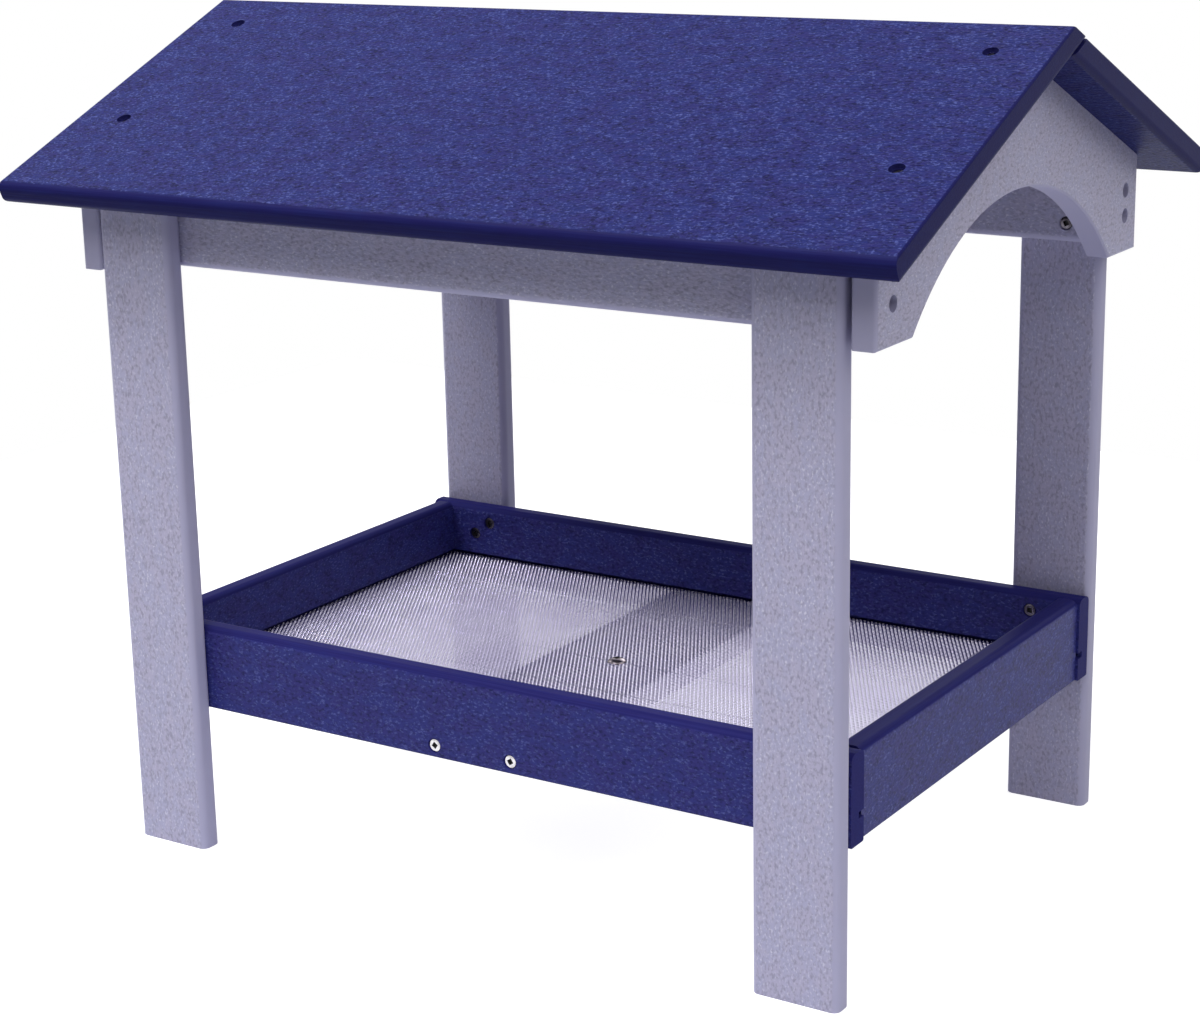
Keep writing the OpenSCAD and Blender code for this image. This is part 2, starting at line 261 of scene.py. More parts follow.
# %% Lay the floor
FLOOR_REACH, FLOOR_DROP = 0.9, 0.2 * MM
LIGHTING_PAINT, LIGHTING_GLOW = (0.58, 0.60, 0.66, 1), 0.08
SHOWN_PAINT, SHOWN_GLOW = (0.5, 0.5, 0.5, 1), 0.86
floor_mesh = bpy.data.meshes.new("studio_floor")
square = ((-1, -1), (1, -1), (1, 1), (-1, 1))
corners = [(x * FLOOR_REACH, y * FLOOR_REACH, -FLOOR_DROP) for x, y in square]
floor_mesh.from_pydata(corners, [], [(0, 1, 2, 3)])
floor = bpy.data.objects.new("studio_floor", floor_mesh)
scene.collection.objects.link(floor)

floor_paint, bench = new_material("pale_floor")


def glowing(shade, glow):
    """Matt paint that also gives off a little light of its own."""
    paint = bench.node("ShaderNodeBsdfDiffuse", None, {"Color": shade})
    light = bench.node("ShaderNodeEmission", None, {"Color": WHITE, "Strength": glow})
    return bench.node("ShaderNodeAddShader", None, {0: paint, 1: light})


lighting, shown = glowing(LIGHTING_PAINT, LIGHTING_GLOW), glowing(SHOWN_PAINT, SHOWN_GLOW)
face = bench.node("ShaderNodeMixShader", None, {0: looked_at(bench), 1: lighting, 2: shown})
bench.node("ShaderNodeOutputMaterial", None, {"Surface": face})
floor_mesh.materials.append(floor_paint)
print("floor", floor.name, "reaches", FLOOR_REACH, "m each way")

# %% [markdown]
# ## The finish of the boards
# Recycled plastic board comes out of its extruder with a fine, soft texture pressed into both faces. The
# old plastic is never quite mixed, so the colour drifts between a cooler and a warmer tone, with small
# lighter and darker flecks stretched along the board. The lighter flecks are partly a painted highlight,
# standing for the tiny glints of the pressed texture. A router then rounds the edges, which cuts through
# that skin: the edges are smoother and shine less, and carry faint streaks along the board.
# Painting such a board by hand would need a picture for every face. One function makes the finish of any
# board instead, from its colours and from the directions in which its length and its thickness run. All
# patterns are read from Object coordinates, turned into the board's own directions, so that they lie still
# on the board, and the roof's slopes get theirs along the slope. A face that looks along the board's
# thickness still has its skin, and any other has been cut. Each has its own shader, and they are mixed.

# %% Say how a board's plastic is made
# How nearly a surface looks along the thickness, as a cosine, where the skin starts and where it is whole
SKIN_FADES, SKIN_FULL = 0.90, 0.985
GRAIN_ROUGHNESS, SEED_STEP = 0.6, 1.7
STREAK_DEPTH = 0.3


def board_plastic(name, look, length_way, thick_way, seed):
    """The finish of one board. Its look holds its colours, its relief and the gloss of faces and edges."""
    material, bench = new_material(name)
    spot = bench.node("ShaderNodeTexCoord").part("Object")
    facing = bench.node("ShaderNodeTexCoord").part("Normal")
    width_way = length_way.cross(thick_way)
    along, across, through = [dot(spot, way) for way in (length_way, width_way, thick_way)]

    def grain(stretch, size, detail, offset):
        """Noise whose specks are `size` mm across, and `stretch` times as long along the board."""
        place = bench.node("ShaderNodeCombineXYZ", None, {0: along / stretch, 1: across, 2: through})
        shift = (seed * SEED_STEP, offset, seed)
        moved = bench.node("ShaderNodeVectorMath", {"operation": "ADD"}, {0: place, 1: shift})
        sockets = {"Vector": moved, "Scale": 1 / (size * MM), "Detail": detail, "Roughness": GRAIN_ROUGHNESS}
        return bench.node("ShaderNodeTexNoise", None, sockets)

    skin = ease(abs(dot(facing, thick_way)), SKIN_FADES, SKIN_FULL)
    drift = grain(1.5, 9.0, 2.0, 9.2)
    dark_flecks = grain(1.5, 1.7, 1.5, 7.7)
    # The lighter flecks are partly the plastic's own and partly a painted highlight for the texture's glints.
    light_flecks_and_painted_glints = grain(1.6, 1.1, 1.0, 3.1)
    streaks = grain(60.0, 0.8, 2.0, 5.3)
    pressed = grain(2.0, 1.3, 1.5, 1.9)

    mixed = ease(drift, 0.38, 0.62)
    plain = blend(mixed, look["cool"], look["warm"])
    body = blend(ease(dark_flecks, 0.42, 0.72) * (0.55 + 0.4 * mixed), plain, look["dark"])
    # Here the lighter flecks, with their painted glints, go onto the body.
    body = blend(ease(light_flecks_and_painted_glints, 0.52, 0.76) * (0.9 - 0.45 * mixed), body, look["light"])
    machined = blend(ease(streaks, 0.35, 0.7) * 0.5, look["edge"], plain)

    height = skin * pressed + (1 - skin) * streaks * STREAK_DEPTH
    bump = bench.node("ShaderNodeBump", None, {"Strength": 1.0, "Distance": look["relief"], "Height": height})

    def plastic(paint, roughness, gloss):
        sockets = {"Base Color": paint, "Roughness": roughness, "Specular IOR Level": gloss, "Normal": bump}
        return bench.node("ShaderNodeBsdfPrincipled", None, sockets)

    face = plastic(body, 0.40 + 0.12 * pressed, look["face gloss"])
    cut = plastic(machined, 0.32 + 0.14 * streaks, look["edge gloss"])
    surface = bench.node("ShaderNodeMixShader", None, {0: skin, 1: cut, 2: face})
    bench.node("ShaderNodeOutputMaterial", None, {"Surface": surface})
    return material


ROOF_BLUE = {
    "cool": colour(34, 40, 97),
    "warm": colour(36, 36, 92),
    "light": colour(77, 85, 145),
    "dark": colour(13, 15, 55),
    "edge": colour(28, 27, 79),
    "relief": 0.38 * MM,
    "face gloss": 0.035,
    "edge gloss": 0.025,
}
TRAY_BLUE = {
    "cool": colour(48, 52, 121),
    "warm": colour(51, 49, 116),
    "light": colour(86, 92, 154),
    "dark": colour(29, 31, 80),
    "edge": colour(40, 39, 100),
    "relief": 0.26 * MM,
    "face gloss": 0.11,
    "edge gloss": 0.01,
}
GREY = {
    "cool": colour(182, 180, 208),
    "warm": colour(187, 182, 207),
    "light": colour(218, 215, 230),
    "dark": colour(156, 153, 177),
    "edge": colour(183, 180, 208),
    "relief": 0.22 * MM,
    "face gloss": 0.13,
    "edge gloss": 0.05,
}
for look in (ROOF_BLUE, TRAY_BLUE, GREY):
    print("relief in mm:", round(look["relief"] / MM, 2), "gloss:", look["face gloss"], look["edge gloss"])

# %% [markdown]
# Each board is listed with its colours and the way its length runs. Its thickness runs the way in which
# most of its surface looks, and that is measured on the CAD mesh. On the roof it is the slope's own way.

# %% Give every board its plastic
ALONG_X, ALONG_Y, ALONG_Z = Vector((1, 0, 0)), Vector((0, 1, 0)), Vector((0, 0, 1))
BOARDS = {
    "roof_panel_front": (ROOF_BLUE, ALONG_X),
    "roof_panel_back": (ROOF_BLUE, ALONG_X),
    "tray_board_front": (TRAY_BLUE, ALONG_X),
    "tray_board_back": (TRAY_BLUE, ALONG_X),
    "tray_end_left": (TRAY_BLUE, ALONG_Y),
    "tray_end_right": (TRAY_BLUE, ALONG_Y),
    "floor_cross_bar": (TRAY_BLUE, ALONG_Y),
    "gable_left": (GREY, ALONG_Y),
    "gable_right": (GREY, ALONG_Y),
    "rail_front": (GREY, ALONG_X),
    "rail_back": (GREY, ALONG_X),
    "post_front_left": (GREY, ALONG_Z),
    "post_front_right": (GREY, ALONG_Z),
    "post_back_left": (GREY, ALONG_Z),
    "post_back_right": (GREY, ALONG_Z),
}


# Of two opposite ways, the one that leans up, then back, then right is the one that counts.
SIDE_THAT_COUNTS = Vector((1, 2, 4))


def broad_way(node):
    """The way that the broad face of a board looks, on its upper, back or right side."""
    area = {}
    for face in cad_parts[node].data.polygons:
        way = tuple(round(share, 4) for share in face.normal)
        if Vector(way).dot(SIDE_THAT_COUNTS) > 0:
            area[way] = area.get(way, 0) + face.area
    return Vector(max(area, key=area.get)).normalized()


broad_ways = {node: broad_way(node) for node in BOARDS}
for seed, (node, (look, length_way)) in enumerate(BOARDS.items(), start=1):
    plastic = board_plastic("plastic_" + node, look, length_way, broad_ways[node], seed)
    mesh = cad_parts[node].data
    mesh.materials.clear()
    mesh.materials.append(plastic)
    print(node, "broad face looks", [round(share, 3) for share in broad_ways[node]])

# %% [markdown]
# ## The perforated floor
# The floor of the real tray is one thin sheet of aluminium with small round holes punched in rows, each
# row set half a step to the side. Punching 20,000 holes with booleans would take hours. Geometry Nodes
# build one cell instead, a small oblong with a hole in it, and lay it like bricks in a wall. The cell has
# a corner where its neighbours' corners fall, so that the cells merge into one closed skin, which then
# gets its thickness. The sheet is made as a few strips, so that no piece is too heavy.

# %% Write down the sheet's punching
HOLE_STEP = 2.38 * MM
HOLE_WIDTH = 1.9 * MM
ROW_STEP = HOLE_STEP * math.sin(math.radians(60))
# By how much of a hole's step every other row lies to the side
ROW_SHIFT = 0.5
STRIPS = 6
WELD = 0.02 * MM
print("holes", round(HOLE_WIDTH / MM, 2), "mm wide, rows", round(ROW_STEP / MM, 3), "mm apart")

# %% Say how a tree is made and run


def tree_with_inputs(name, inputs):
    """A Geometry Nodes tree with named inputs, and the wires that carry them."""
    tree = bpy.data.node_groups.new(name, "GeometryNodeTree")
    bench = Bench(tree)
    tree.interface.new_socket("Geometry", in_out="OUTPUT", socket_type="NodeSocketGeometry")
    for label, kind in inputs.items():
        tree.interface.new_socket(label, in_out="INPUT", socket_type="NodeSocket" + kind)
    entry = bench.node("NodeGroupInput")
    return tree, bench, {label: entry.part(label) for label in inputs}


def make_from_tree(name, tree, values, places=()):
    """Run a tree once, on points at the given places, and keep what it makes as a plain mesh object."""
    points = bpy.data.meshes.new(name + "_places")
    points.from_pydata([tuple(place) for place in places], [], [])
    host = bpy.data.objects.new(name + "_maker", points)
    scene.collection.objects.link(host)
    modifier = host.modifiers.new("nodes", "NODES")
    modifier.node_group = tree
    for item in tree.interface.items_tree:
        if item.in_out == "INPUT" and item.name in values:
            modifier[item.identifier] = values[item.name]
    made_by = bpy.context.evaluated_depsgraph_get()
    mesh = bpy.data.meshes.new_from_object(host.evaluated_get(made_by), depsgraph=made_by)
    host.modifiers.clear()
    bpy.data.objects.remove(host)
    mesh.name = name
    piece = bpy.data.objects.new(name, mesh)
    scene.collection.objects.link(piece)
    return piece


# %% Build the tree that lays perforated strips
sheet_tree, bench, size = tree_with_inputs(
    "perforated_strip",
    {
        "Hole step": "Float",
        "Row step": "Float",
        "Hole width": "Float",
        "Thickness": "Float",
        "Top": "Float",
        "First row": "Float",
        "Holes in a row": "Int",
        "Rows": "Int",
        "Metal": "Material",
    },
)
RIM_POINTS = 8
# A rim point lies 0, 0.35 or 0.5 hole widths out, and this makes the last two round to 1.
CORNER_PULL = 2.4
rim = bench.node(
    "GeometryNodeMeshCircle",
    {"fill_type": "NONE"},
    {"Vertices": RIM_POINTS, "Radius": size["Hole width"] / 2},
)
grown = bench.node("GeometryNodeExtrudeMesh", {"mode": "EDGES"}, {"Mesh": rim, "Offset Scale": 0.0})
spot = bench.node("ShaderNodeSeparateXYZ", None, {0: bench.node("GeometryNodeInputPosition")})


def to_cell_edge(wire, cell_width):
    """A rim point's x or y, moved out to the cell's corner or to the middle of one of its sides."""
    side = (wire / size["Hole width"] * CORNER_PULL).rounded()
    return side * cell_width / 2


corner = bench.node(
    "ShaderNodeCombineXYZ",
    None,
    {0: to_cell_edge(spot.part("X"), size["Hole step"]), 1: to_cell_edge(spot.part("Y"), size["Row step"])},
)
cell = bench.node(
    "GeometryNodeSetPosition", None, {"Geometry": grown, "Selection": grown.part("Top"), "Position": corner}
)
lattice = bench.node(
    "GeometryNodeMeshGrid",
    None,
    {
        "Vertices X": size["Holes in a row"],
        "Vertices Y": size["Rows"],
        "Size X": (size["Holes in a row"] - 1) * size["Hole step"],
        "Size Y": (size["Rows"] - 1) * size["Row step"],
    },
)
middle_row = size["First row"] + (size["Rows"] - 1) / 2
row = (middle_row + spot.part("Y") / size["Row step"]).rounded()
odd = row.maths("PINGPONG", row, 1.0)
brick_shift = bench.node(
    "ShaderNodeCombineXYZ",
    None,
    {
        0: (odd - 0.5) * size["Hole step"] * ROW_SHIFT,
        1: middle_row * size["Row step"],
        2: size["Top"],
    },
)
bricks = bench.node("GeometryNodeSetPosition", None, {"Geometry": lattice, "Offset": brick_shift})
laid = bench.node("GeometryNodeInstanceOnPoints", None, {"Points": bricks, "Instance": cell})
flat = bench.node("GeometryNodeRealizeInstances", None, {"Geometry": laid})
skin = bench.node("GeometryNodeMergeByDistance", None, {"Geometry": flat, "Distance": WELD})
down = bench.node("ShaderNodeCombineXYZ", None, {2: size["Thickness"] * -1})
under = bench.node(
    "GeometryNodeExtrudeMesh",
    {"mode": "FACES"},
    {"Mesh": skin, "Offset": down, "Offset Scale": 1.0, "Individual": False},
)
over = bench.node("GeometryNodeFlipFaces", None, {"Mesh": skin})
both = bench.node("GeometryNodeJoinGeometry", None, {"Geometry": [under, over]})
closed = bench.node("GeometryNodeMergeByDistance", None, {"Geometry": both, "Distance": WELD})
painted = bench.node("GeometryNodeSetMaterial", None, {"Geometry": closed, "Material": size["Metal"]})
bench.node("NodeGroupOutput", None, {"Geometry": painted})
print("tree", sheet_tree.name, "nodes:", len(sheet_tree.nodes))

# %% [markdown]
# ## The finish of the floor sheet
# Mill-finish aluminium is bright and only half polished. Its rolling leaves faint streaks along the
# rows, and handling leaves duller patches, so both its roughness and its colour drift a little.

# %% Say how the sheet's metal looks
BRIGHT_METAL, HANDLED_METAL = colour(208, 203, 228), colour(196, 190, 220)
STREAK_WIDTH, PATCH_WIDTH = 0.9 * MM, 34 * MM
# Shrinking the place along x draws each streak out to 25 times its width.
PLACE_SHRINK = (0.04, 1, 1)
sheet_metal, bench = new_material("mill_aluminium")
spot = bench.node("ShaderNodeTexCoord").part("Object")
shrunk = bench.node("ShaderNodeVectorMath", {"operation": "MULTIPLY"}, {0: spot, 1: PLACE_SHRINK})
sockets = {"Vector": shrunk, "Scale": 1 / STREAK_WIDTH, "Detail": 2.0}
rolled = bench.node("ShaderNodeTexNoise", None, sockets)
sockets = {"Vector": spot, "Scale": 1 / PATCH_WIDTH, "Detail": 2.0}
patches = bench.node("ShaderNodeTexNoise", None, sockets)
sockets = {
    "Base Color": blend(ease(patches, 0.35, 0.7) * 0.5, BRIGHT_METAL, HANDLED_METAL),
    "Metallic": 1.0,
    "Roughness": 0.10 + 0.04 * rolled + 0.06 * patches,
}
metal = bench.node("ShaderNodeBsdfPrincipled", None, sockets)
bench.node("ShaderNodeOutputMaterial", None, {"Surface": metal})
print("material", sheet_metal.name)

# %% Lay the strips of the floor sheet
sheet_low, sheet_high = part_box("floor_sheet")
holes_in_row = int((sheet_high.x - sheet_low.x) / HOLE_STEP - ROW_SHIFT)
rows = int((sheet_high.y - sheet_low.y) / ROW_STEP)
strips = []
for number in range(STRIPS):
    first = rows * number // STRIPS
    last = rows * (number + 1) // STRIPS
    strips.append(
        make_from_tree(
            f"floor_sheet_strip_{number + 1}",
            sheet_tree,
            {
                "Hole step": HOLE_STEP,
                "Row step": ROW_STEP,
                "Hole width": HOLE_WIDTH,
                "Thickness": sheet_high.z - sheet_low.z,
                "Top": sheet_high.z,
                "First row": first - (rows - 1) / 2,
                "Holes in a row": holes_in_row,
                "Rows": last - first,
                "Metal": sheet_metal,
            },
        )
    )
print("holes:", rows * holes_in_row)

# %% [markdown]
# When a model is exported, its finish is painted onto flat pictures, one for each piece. Blender's own
# unwrapping would cut loose every wall of every hole, and lay thousands of specks beside each other. So
# each strip brings a flat map of its own. Its top lies there as seen from above, its underside beside it,
# and each hole's wall is drawn inside the hole, where that picture is empty. Python loops over a million
# corners would be slow, so numpy works on all of them at once.

# %% Give each strip its own flat map
# How far a wall is drawn in towards the middle of its hole, and the empty edge round the map
WALL_SHIFT, MAP_EDGE = 0.4, 2 * MM
# A face whose normal leans less than this up or down is a wall.
LEAN = 0.5


def numbers(items, name, width, kind):
    """One property of all faces, corners or points of a mesh, as a table."""
    found = np.empty(len(items) * width, kind)
    items.foreach_get(name, found)
    return found.reshape(-1, width)


def lay_flat(mesh):
    """The flat map of a perforated strip."""
    # Each table below has one row for each corner of each face.
    corners_of_face = numbers(mesh.polygons, "loop_total", 1, np.int32)[:, 0]
    face_of = np.repeat(np.arange(len(mesh.polygons)), corners_of_face)
    way = numbers(mesh.polygons, "normal", 3, np.float32)[face_of]
    middle = numbers(mesh.polygons, "center", 3, np.float32)[face_of]
    corner_of = numbers(mesh.loops, "vertex_index", 1, np.int32)[:, 0]
    place = numbers(mesh.vertices, "co", 3, np.float32)[corner_of]
    low, high = place.min(axis=0), place.max(axis=0)
    depth = (high[2] - place[:, 2]) / (high[2] - low[2])
    wall, below = abs(way[:, 2]) < LEAN, way[:, 2] < -LEAN
    hole = middle[:, :2] + way[:, :2] * HOLE_WIDTH / 2
    flat = place[:, :2] + (hole - place[:, :2]) * (WALL_SHIFT * depth * wall)[:, None]
    share = (flat - low[:2] + MAP_EDGE) / (high[:2] - low[:2] + 2 * MAP_EDGE)
    share[:, 1] = (share[:, 1] + below) / 2
    mesh.uv_layers.new(name="OFBake").data.foreach_set("uv", share.astype(np.float32).ravel())
    print(mesh.name, "map from", share.min(axis=0).round(3), "to", share.max(axis=0).round(3))


for strip in strips:
    lay_flat(strip.data)

# %% Fix the strips to the feeder
for strip in strips:
    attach(strip, "root")
    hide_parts("floor_sheet")
    strip.data.calc_loop_triangles()
    print(strip.name, "triangles:", len(strip.data.loop_triangles))

# %% [markdown]
# ## The screws
# Every joint of the feeder is held by steel wood screws with a square drive: flat heads sunk into the
# boards, and one wide domed head that pins the floor sheet down. A screw is a turned shape, so it can be
# described row by row: how deep a row of points lies and how far out. Geometry Nodes bend a plain tube
# into those rows, wind the thread round the shank, cut the drive socket, and put a copy on every place
# where the CAD frame has a screw.

# %% Build the trees that turn a screw
THREAD_STEP = 2.8 * MM
ROWS_PER_TURN = 5
SCREW_SIDES = 20
RIM_ROWS, DOME_ROWS = 2, 6
# A dome's rows start at this angle from its top, in radians, and a flat cap closes it there.
DOME_START = 0.35
# A row whose share of the shank is above this is threaded. The row where the head ends, at 0, isn't.
SHANK_START = 0.001
SCREW_SIZES = {
    "Places": "Geometry",
    "Shank width": "Float",
    "Head width": "Float",
    "Head height": "Float",
    "Length": "Float",
    "Tip length": "Float",
    "Point width": "Float",
    "Rim": "Float",
    "Thread depth": "Float",
    "Socket width": "Float",
    "Socket depth": "Float",
    "Rows": "Int",
    "Seed": "Int",
    "Way out": "Vector",
    "Steel": "Material",
}


def turned_screw(bench, size, domed):
    """The solid of a screw that points down, the middle of its head at the origin."""
    head_rows = DOME_ROWS if domed else RIM_ROWS
    tube = bench.node(
        "GeometryNodeMeshCylinder",
        {"fill_type": "NGON"},
        {"Vertices": SCREW_SIDES, "Side Segments": size["Rows"], "Radius": 1.0, "Depth": 1.0},
    )
    spot = bench.node("ShaderNodeSeparateXYZ", None, {0: bench.node("GeometryNodeInputPosition")})
    x, y, z = [spot.part(axis) for axis in "XYZ"]
    # The row of the tube that a point is in, from 0 at the top, and how far down the head, the neck and
    # the shank that row is, each from 0 to 1
    row = ((0.5 - z) * size["Rows"]).rounded()
    head = row.low(head_rows) / head_rows
    neck = (row - head_rows).high(0).low(1)
    shank = (row - head_rows - 1).high(0) / (size["Rows"] - head_rows - 1)
    head_radius, shank_radius = size["Head width"] / 2, size["Shank width"] / 2
    if domed:
        bend = head * (math.pi / 2 - DOME_START) + DOME_START
        radius = bend.maths("SINE", bend) * head_radius
        depth = bend.maths("COSINE", bend) * size["Head height"] * -1 + shank * size["Length"]
    else:
        bend = head * (math.pi / 2)
        radius = head_radius - size["Rim"] + bend.maths("SINE", bend) * size["Rim"]
        rim_depth = (1 - bend.maths("COSINE", bend)) * size["Rim"]
        depth = rim_depth + (size["Head height"] - size["Rim"]) * neck
        depth = depth + (size["Length"] - size["Head height"]) * shank
    radius = radius + (shank_radius - head_radius) * neck
    # The thread is a wave that runs round the shank once for every thread step, and the tip narrows.
    turns = depth / THREAD_STEP - x.maths("ARCTAN2", y, x) / (2 * math.pi)
    wave = 0.5 - 0.5 * turns.maths("COSINE", turns * (2 * math.pi))
    radius = radius - size["Thread depth"] * wave * (shank / SHANK_START).low(1)
    left_over = (size["Length"] - depth) / size["Tip length"]
    blunt = size["Point width"] / size["Shank width"]
    radius = radius * (blunt + (1 - blunt) * left_over.high(0).low(1))
    place = bench.node("ShaderNodeCombineXYZ", None, {0: x * radius, 1: y * radius, 2: depth * -1})
    return bench.node("GeometryNodeSetPosition", None, {"Geometry": tube, "Position": place})


def with_drive_socket(bench, size, screw, top):
    """The screw with a square socket cut into its head, whose faces are marked for the finish."""
    width, depth = size["Socket width"], size["Socket depth"]
    block_size = bench.node("ShaderNodeCombineXYZ", None, {0: width, 1: width, 2: depth * 2})
    block = bench.node("GeometryNodeMeshCube", None, {"Size": block_size})
    lift = bench.node("ShaderNodeCombineXYZ", None, {2: top})
    lifted = bench.node("GeometryNodeTransform", None, {"Geometry": block, "Translation": lift})
    cut = bench.node(
        "GeometryNodeMeshBoolean", {"operation": "DIFFERENCE"}, {"Mesh 1": screw, "Mesh 2": lifted}
    )
    spot = bench.node("ShaderNodeSeparateXYZ", None, {0: bench.node("GeometryNodeInputPosition")})
    x, y, z = [spot.part(axis) for axis in "XYZ"]
    # How far inside the block a face lies. The socket's own faces lie inside by the weld's width.
    half = width / 2 + WELD
    between_sides = (half - abs(x)).low(half - abs(y))
    inside = between_sides.low(top - WELD - z).low(z - top + depth + WELD)
    return bench.node(
        "GeometryNodeStoreNamedAttribute",
        {"data_type": "FLOAT", "domain": "FACE"},
        {"Geometry": cut, "Name": "in_socket", "Value": inside.maths("GREATER_THAN", inside, 0.0)},
    )


def screw_tree(name, domed):
    """A tree that makes screws with a flat sunk head, or with a dome that stands on the surface."""
    tree, bench, size = tree_with_inputs(name, SCREW_SIZES)
    top = size["Head height"] * math.cos(DOME_START) if domed else 0.0
    screw = with_drive_socket(bench, size, turned_screw(bench, size, domed), top)
    aimed = bench.node("FunctionNodeAlignRotationToVector", {"axis": "Z"}, {"Vector": size["Way out"]})
    spin = bench.node(
        "FunctionNodeRandomValue",
        {"data_type": "FLOAT"},
        {"Min": 0.0, "Max": math.pi / 2, "Seed": size["Seed"]},
    )
    twist = bench.node("FunctionNodeAxisAngleToRotation", None, {"Axis": (0, 0, 1), "Angle": spin})
    facing = bench.node("FunctionNodeRotateRotation", {"rotation_space": "LOCAL"}, {0: aimed, 1: twist})
    placed = bench.node(
        "GeometryNodeInstanceOnPoints",
        None,
        {"Points": size["Places"], "Instance": screw, "Rotation": facing},
    )
    real = bench.node("GeometryNodeRealizeInstances", None, {"Geometry": placed})
    painted = bench.node("GeometryNodeSetMaterial", None, {"Geometry": real, "Material": size["Steel"]})
    bench.node("NodeGroupOutput", None, {"Geometry": painted})
    print("tree", tree.name, "nodes:", len(tree.nodes))
    return tree


sunk_tree = screw_tree("sunk_screw", domed=False)
dome_tree = screw_tree("domed_screw", domed=True)

# %% [markdown]
# ## The finish of the screws
# The screws in the roof and in the outside of the tray are bright zinc-plated steel. The wide one in the
# floor is duller and painted darker, and those inside the tray and in the gables and rails are painted
# darker still: painted shade, for heads that sit under the roof, inside the tray or deep in their holes.
# The heads are stamped, so they carry a fine uneven grain, and wear dulls them in patches. Their drive
# sockets are painted dark and matt, a painted shade of the recess, which the attribute that the tree left
# on the socket's faces brings out. Most of what the rest shows is a reflection of the room.

# %% Say how the screw steel looks
# The drive sockets are painted dark and matt: painted shade of the recess.
SOCKET_PAINTED_SHADE = colour(30, 28, 34)
SOCKET_SHADE_COVER, SOCKET_SHADE_ROUGHNESS = 0.9, 0.3
STAMPED_GRAIN, WORN_PATCH = 0.5 * MM, 3.1 * MM
STAMPED_DEPTH, STAMPED_STRENGTH = 0.05 * MM, 0.2


def steel_finish(name, clean, worn, smoothest, roughest):
    """Plated steel: two colours, and the range of its roughness. Its drive sockets get a painted shade."""
    material, bench = new_material(name)
    spot = bench.node("ShaderNodeTexCoord").part("Object")
    sockets = {"Vector": spot, "Scale": 1 / STAMPED_GRAIN, "Detail": 2.0}
    stamped = bench.node("ShaderNodeTexNoise", None, sockets)
    sockets = {"Vector": spot, "Scale": 1 / WORN_PATCH, "Detail": 1.0}
    smudge = bench.node("ShaderNodeTexNoise", None, sockets)
    worn_share = ease(smudge, 0.4, 0.7)
    # On the socket's faces the steel takes the painted shade instead, dark and not metallic.
    socket_shade = bench.node("ShaderNodeAttribute", {"attribute_name": "in_socket"}).part("Fac")
    sockets = {"Strength": STAMPED_STRENGTH, "Distance": STAMPED_DEPTH, "Height": stamped}
    bump = bench.node("ShaderNodeBump", None, sockets)
    sockets = {
        "Base Color": blend(socket_shade * SOCKET_SHADE_COVER, blend(worn_share * 0.6, clean, worn), SOCKET_PAINTED_SHADE),
        "Metallic": 1 - socket_shade,
        "Roughness": smoothest + (roughest - smoothest) * worn_share + SOCKET_SHADE_ROUGHNESS * socket_shade,
        "Normal": bump,
    }
    steel = bench.node("ShaderNodeBsdfPrincipled", None, sockets)
    bench.node("ShaderNodeOutputMaterial", None, {"Surface": steel})
    print("material", name)
    return material


zinc_plate = steel_finish("zinc_plated_steel", colour(206, 204, 208), colour(160, 156, 160), 0.14, 0.30)
# The other two are the plated steel painted darker, a painted shade; the dull one is also a little rougher.
dull_steel_in_painted_shade = steel_finish("dull_steel_in_painted_shade", colour(140, 132, 140), colour(98, 88, 94), 0.16, 0.34)
steel_in_deep_painted_shade = steel_finish("steel_in_deep_painted_shade", colour(92, 88, 98), colour(64, 58, 64), 0.2, 0.36)

# %% [markdown]
# The places of the screws aren't written down again: each CAD node of screws is split into its single
# screws, and the top of each one's head is found along the way that the head faces.

# %% Put the screws in their places
HEAD_WIDTH, HEAD_HEIGHT, SHANK_WIDTH = 6.9 * MM, 2.6 * MM, 4 * MM
DOME_WIDTH, DOME_HEIGHT = 10.4 * MM, 2.4 * MM
TIP_LENGTH, POINT_WIDTH = 4 * MM, 1 * MM
SOCKET_WIDTH, SOCKET_DEPTH = 2.8 * MM, 1.8 * MM
RIM, THREAD_DEPTH = 0.6 * MM, 0.55 * MM
# Points closer than this are one point, and points this near the lowest one are a screw's tip.
SAME_POINT, TIP_SLICE = 0.001 * MM, 0.01 * MM
CREASE = math.radians(35)


def single_screws(node):
    """The points of each separate screw in a CAD node."""
    mesh = bmesh.new()
    mesh.from_mesh(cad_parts[node].data)
    bmesh.ops.remove_doubles(mesh, verts=mesh.verts, dist=SAME_POINT)
    reached = set()
    screws = []
    for start in mesh.verts:
        if start in reached:
            continue
        reached.add(start)
        found, edge = [], [start]
        while edge:
            vert = edge.pop()
            found.append(vert.co.copy())
            for link in vert.link_edges:
                other = link.other_vert(vert)
                if other not in reached:
                    reached.add(other)
                    edge.append(other)
        screws.append(found)
    mesh.free()
    return screws


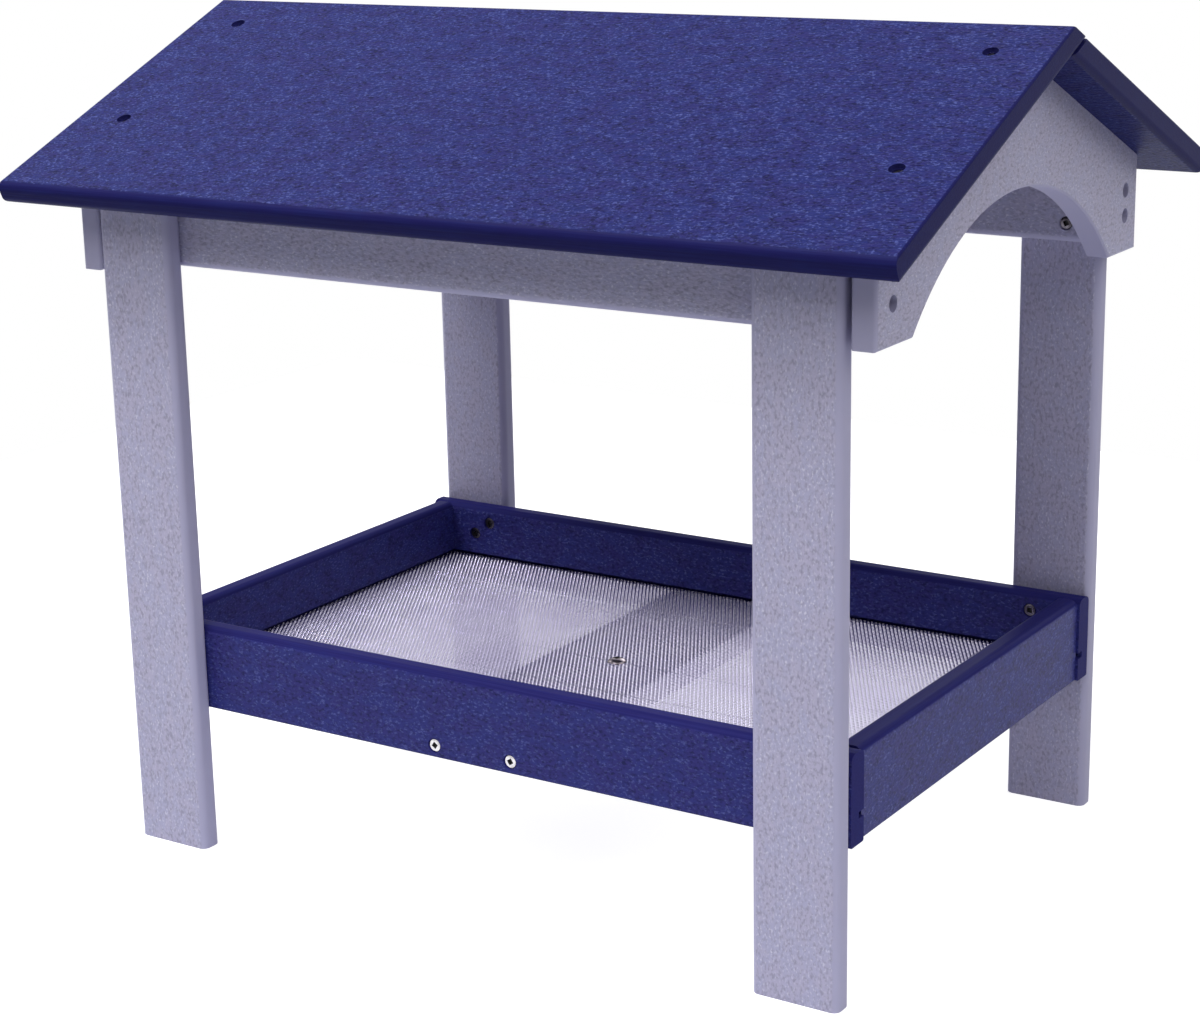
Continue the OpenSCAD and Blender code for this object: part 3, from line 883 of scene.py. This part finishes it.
def head_and_length(points, way):
    """The middle of the top of a screw's head, and the screw's length, along the way that it faces."""
    reach = [point.dot(way) for point in points]
    lowest, length = min(reach), max(reach) - min(reach)
    tip = [point for point, place in zip(points, reach) if place < lowest + TIP_SLICE]
    return sum(tip, Vector()) / len(tip) + way * length, length


SCREWS = {
    "roof_screws_front": (broad_ways["roof_panel_front"], zinc_plate),
    "roof_screws_back": (broad_ways["roof_panel_back"], zinc_plate),
    "gable_screws_left": (-ALONG_X, steel_in_deep_painted_shade),
    "gable_screws_right": (ALONG_X, steel_in_deep_painted_shade),
    "rail_post_screws_front": (ALONG_Y, steel_in_deep_painted_shade),
    "rail_post_screws_back": (-ALONG_Y, steel_in_deep_painted_shade),
    "tray_post_screws_front": (ALONG_Y, steel_in_deep_painted_shade),
    "tray_post_screws_back": (-ALONG_Y, steel_in_deep_painted_shade),
    "tray_corner_screws_front": (-ALONG_Y, zinc_plate),
    "tray_corner_screws_back": (ALONG_Y, zinc_plate),
    "cross_bar_screws_front": (-ALONG_Y, zinc_plate),
    "cross_bar_screws_back": (ALONG_Y, zinc_plate),
    "floor_screw": (ALONG_Z, dull_steel_in_painted_shade),
}
for seed, (node, (way, steel)) in enumerate(SCREWS.items(), start=1):
    domed = node == "floor_screw"
    heads = [head_and_length(points, way) for points in single_screws(node)]
    stands_up = DOME_HEIGHT if domed else 0
    length = heads[0][1] - stands_up
    places = [place - way * stands_up for place, _ in heads]
    rows = round(length / THREAD_STEP * ROWS_PER_TURN) + (DOME_ROWS if domed else RIM_ROWS + 1)
    piece = make_from_tree(
        node + "_turned",
        dome_tree if domed else sunk_tree,
        {
            "Shank width": SHANK_WIDTH,
            "Head width": DOME_WIDTH if domed else HEAD_WIDTH,
            "Head height": DOME_HEIGHT if domed else HEAD_HEIGHT,
            "Length": length,
            "Tip length": TIP_LENGTH,
            "Point width": POINT_WIDTH,
            "Rim": RIM,
            "Thread depth": THREAD_DEPTH,
            "Socket width": SOCKET_WIDTH,
            "Socket depth": SOCKET_DEPTH,
            "Rows": rows,
            "Seed": seed,
            "Way out": tuple(way),
            "Steel": steel,
        },
        places,
    )
    piece.data.shade_smooth()
    piece.data.set_sharp_from_angle(angle=CREASE)
    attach(piece, "root")
    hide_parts(node)
    print(piece.name, "screws:", len(heads), "length in mm:", round(length / MM, 1))
